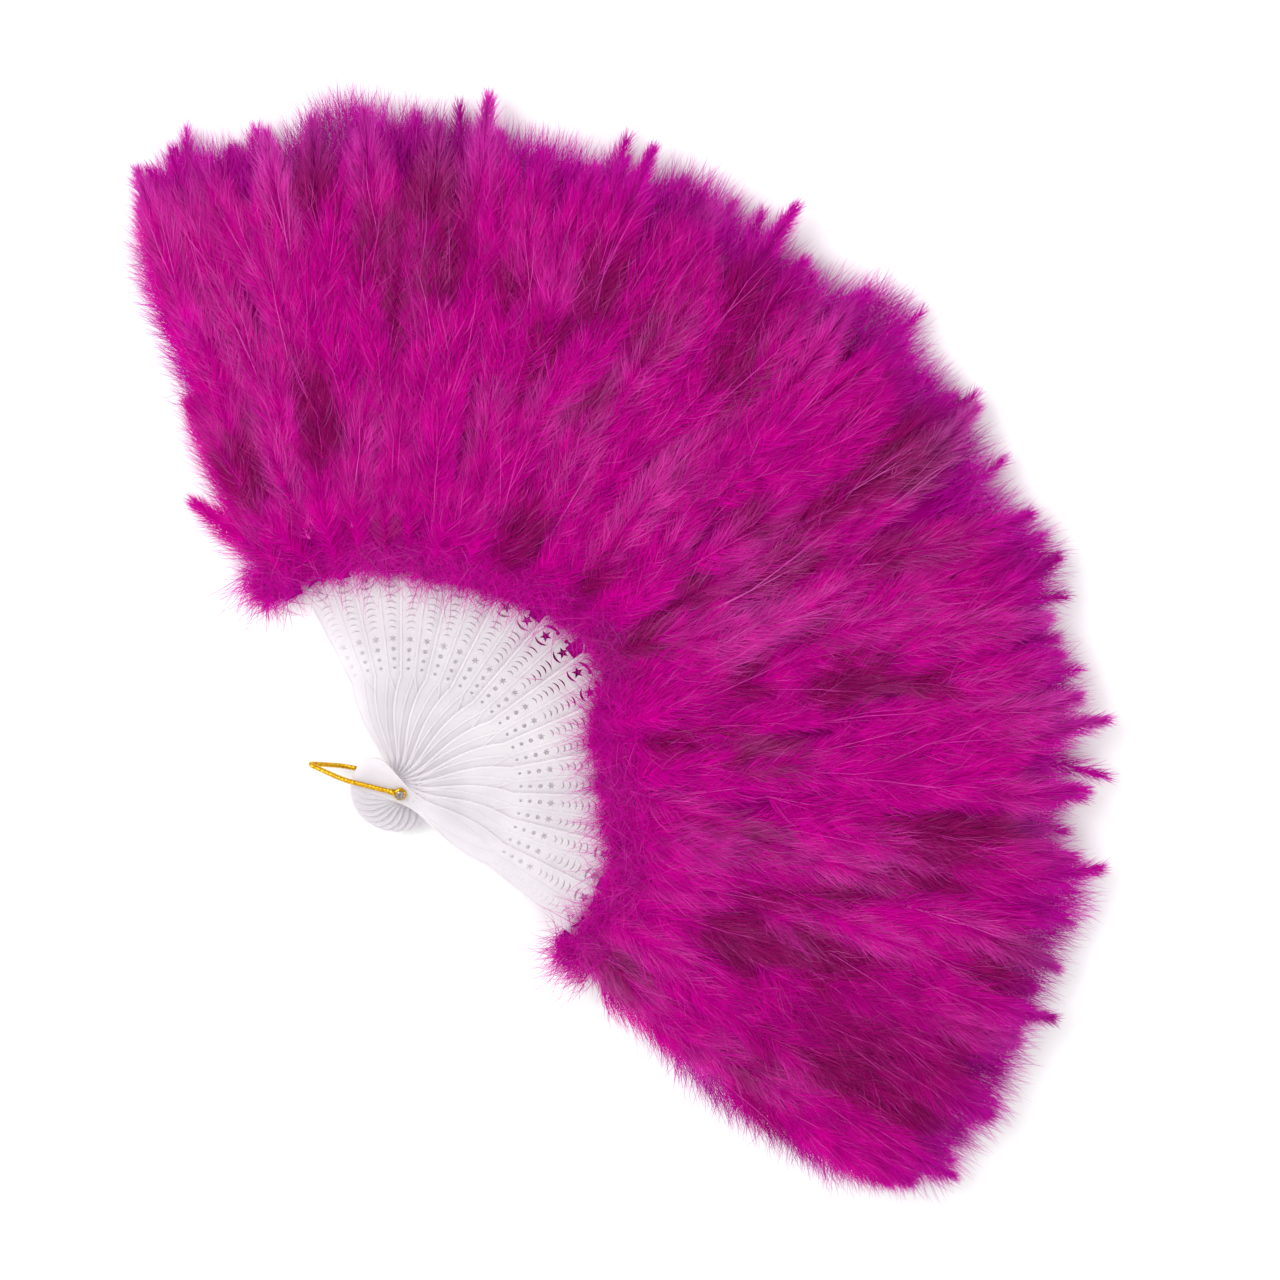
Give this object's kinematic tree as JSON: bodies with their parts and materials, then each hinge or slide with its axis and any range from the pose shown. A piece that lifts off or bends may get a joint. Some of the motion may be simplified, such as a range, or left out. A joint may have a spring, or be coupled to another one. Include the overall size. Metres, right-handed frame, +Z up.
{
  "type": "feather folding fan",
  "caption": "Open folding fan with magenta marabou feathers, pierced white plastic sticks on one rivet and a gold wire bail.",
  "frame": {"origin": "under the middle of the open fan, on the surface that it lies on", "axes": "+Z up along the rivet, +Y from the rivet to the middle of the spread, +X across the spread"},
  "size_m": [0.7961, 0.4469, 0.042],
  "materials": {
    "stick_plastic": "satin, slightly translucent white",
    "feather": "soft magenta marabou down",
    "gold_wire": "bright gold wire",
    "rivet_steel": "plain steel"
  },
  "bodies": {
    "blade_back": {"guard_back": "stick_plastic", "feathers_back_00": "feather", "feathers_front_00": "feather", "rivet": "rivet_steel", "rivet_cap": "rivet_steel"},
    "blade_01": {"stick_01": "stick_plastic", "feathers_back_01": "feather", "feathers_front_01": "feather"},
    "blade_02": {"stick_02": "stick_plastic", "feathers_back_02": "feather", "feathers_front_02": "feather"},
    "blade_03": {"stick_03": "stick_plastic", "feathers_back_03": "feather", "feathers_front_03": "feather"},
    "blade_04": {"stick_04": "stick_plastic", "feathers_back_04": "feather", "feathers_front_04": "feather"},
    "blade_05": {"stick_05": "stick_plastic", "feathers_back_05": "feather", "feathers_front_05": "feather"},
    "blade_06": {"stick_06": "stick_plastic", "feathers_back_06": "feather", "feathers_front_06": "feather"},
    "blade_07": {"stick_07": "stick_plastic", "feathers_back_07": "feather", "feathers_front_07": "feather"},
    "blade_08": {"stick_08": "stick_plastic", "feathers_back_08": "feather", "feathers_front_08": "feather"},
    "blade_09": {"stick_09": "stick_plastic", "feathers_back_09": "feather", "feathers_front_09": "feather"},
    "blade_10": {"stick_10": "stick_plastic", "feathers_back_10": "feather", "feathers_front_10": "feather"},
    "blade_front": {"guard_front": "stick_plastic", "feathers_back_11": "feather", "feathers_front_11": "feather"},
    "hanger": {"bail": "gold_wire"}
  },
  "joints": [
    {"name": "fold", "type": "hinge", "parent": "blade_back", "child": "blade_front", "pos_m": [0, -0.18859, 0.022], "axis": [0, 0, 1], "range_deg": [0, 143.11], "deforming": ["feathers_back_11", "feathers_front_11", "feathers_back_00", "feathers_front_00"]},
    {"name": "fold_01", "type": "hinge", "parent": "blade_back", "child": "blade_01", "pos_m": [0, -0.18859, 0.022], "axis": [0, 0, 1], "range_deg": [0, 13.06], "deforming": ["feathers_back_01", "feathers_front_01"]},
    {"name": "fold_02", "type": "hinge", "parent": "blade_back", "child": "blade_02", "pos_m": [0, -0.18859, 0.022], "axis": [0, 0, 1], "range_deg": [0, 26.07], "deforming": ["feathers_back_02", "feathers_front_02"]},
    {"name": "fold_03", "type": "hinge", "parent": "blade_back", "child": "blade_03", "pos_m": [0, -0.18859, 0.022], "axis": [0, 0, 1], "range_deg": [0, 39.08], "deforming": ["feathers_back_03", "feathers_front_03"]},
    {"name": "fold_04", "type": "hinge", "parent": "blade_back", "child": "blade_04", "pos_m": [0, -0.18859, 0.022], "axis": [0, 0, 1], "range_deg": [0, 52.09], "deforming": ["feathers_back_04", "feathers_front_04"]},
    {"name": "fold_05", "type": "hinge", "parent": "blade_back", "child": "blade_05", "pos_m": [0, -0.18859, 0.022], "axis": [0, 0, 1], "range_deg": [0, 65.1], "deforming": ["feathers_back_05", "feathers_front_05"]},
    {"name": "fold_06", "type": "hinge", "parent": "blade_back", "child": "blade_06", "pos_m": [0, -0.18859, 0.022], "axis": [0, 0, 1], "range_deg": [0, 78.11], "deforming": ["feathers_back_06", "feathers_front_06"]},
    {"name": "fold_07", "type": "hinge", "parent": "blade_back", "child": "blade_07", "pos_m": [0, -0.18859, 0.022], "axis": [0, 0, 1], "range_deg": [0, 91.12], "deforming": ["feathers_back_07", "feathers_front_07"]},
    {"name": "fold_08", "type": "hinge", "parent": "blade_back", "child": "blade_08", "pos_m": [0, -0.18859, 0.022], "axis": [0, 0, 1], "range_deg": [0, 104.13], "deforming": ["feathers_back_08", "feathers_front_08"]},
    {"name": "fold_09", "type": "hinge", "parent": "blade_back", "child": "blade_09", "pos_m": [0, -0.18859, 0.022], "axis": [0, 0, 1], "range_deg": [0, 117.14], "deforming": ["feathers_back_09", "feathers_front_09"]},
    {"name": "fold_10", "type": "hinge", "parent": "blade_back", "child": "blade_10", "pos_m": [0, -0.18859, 0.022], "axis": [0, 0, 1], "range_deg": [0, 130.15], "deforming": ["feathers_back_10", "feathers_front_10"]},
    {"name": "bail_swing", "type": "hinge", "parent": "blade_back", "child": "hanger", "pos_m": [0, -0.18859, 0.022], "axis": [0, 0, 1], "range_deg": [-35, 140]}
  ],
  "couplings": [
    {"joint": "fold_01", "follows": "fold", "ratio": 0.090909},
    {"joint": "fold_02", "follows": "fold", "ratio": 0.18182},
    {"joint": "fold_03", "follows": "fold", "ratio": 0.27273},
    {"joint": "fold_04", "follows": "fold", "ratio": 0.36364},
    {"joint": "fold_05", "follows": "fold", "ratio": 0.45455},
    {"joint": "fold_06", "follows": "fold", "ratio": 0.54545},
    {"joint": "fold_07", "follows": "fold", "ratio": 0.63636},
    {"joint": "fold_08", "follows": "fold", "ratio": 0.72727},
    {"joint": "fold_09", "follows": "fold", "ratio": 0.81818},
    {"joint": "fold_10", "follows": "fold", "ratio": 0.90909}
  ]
}
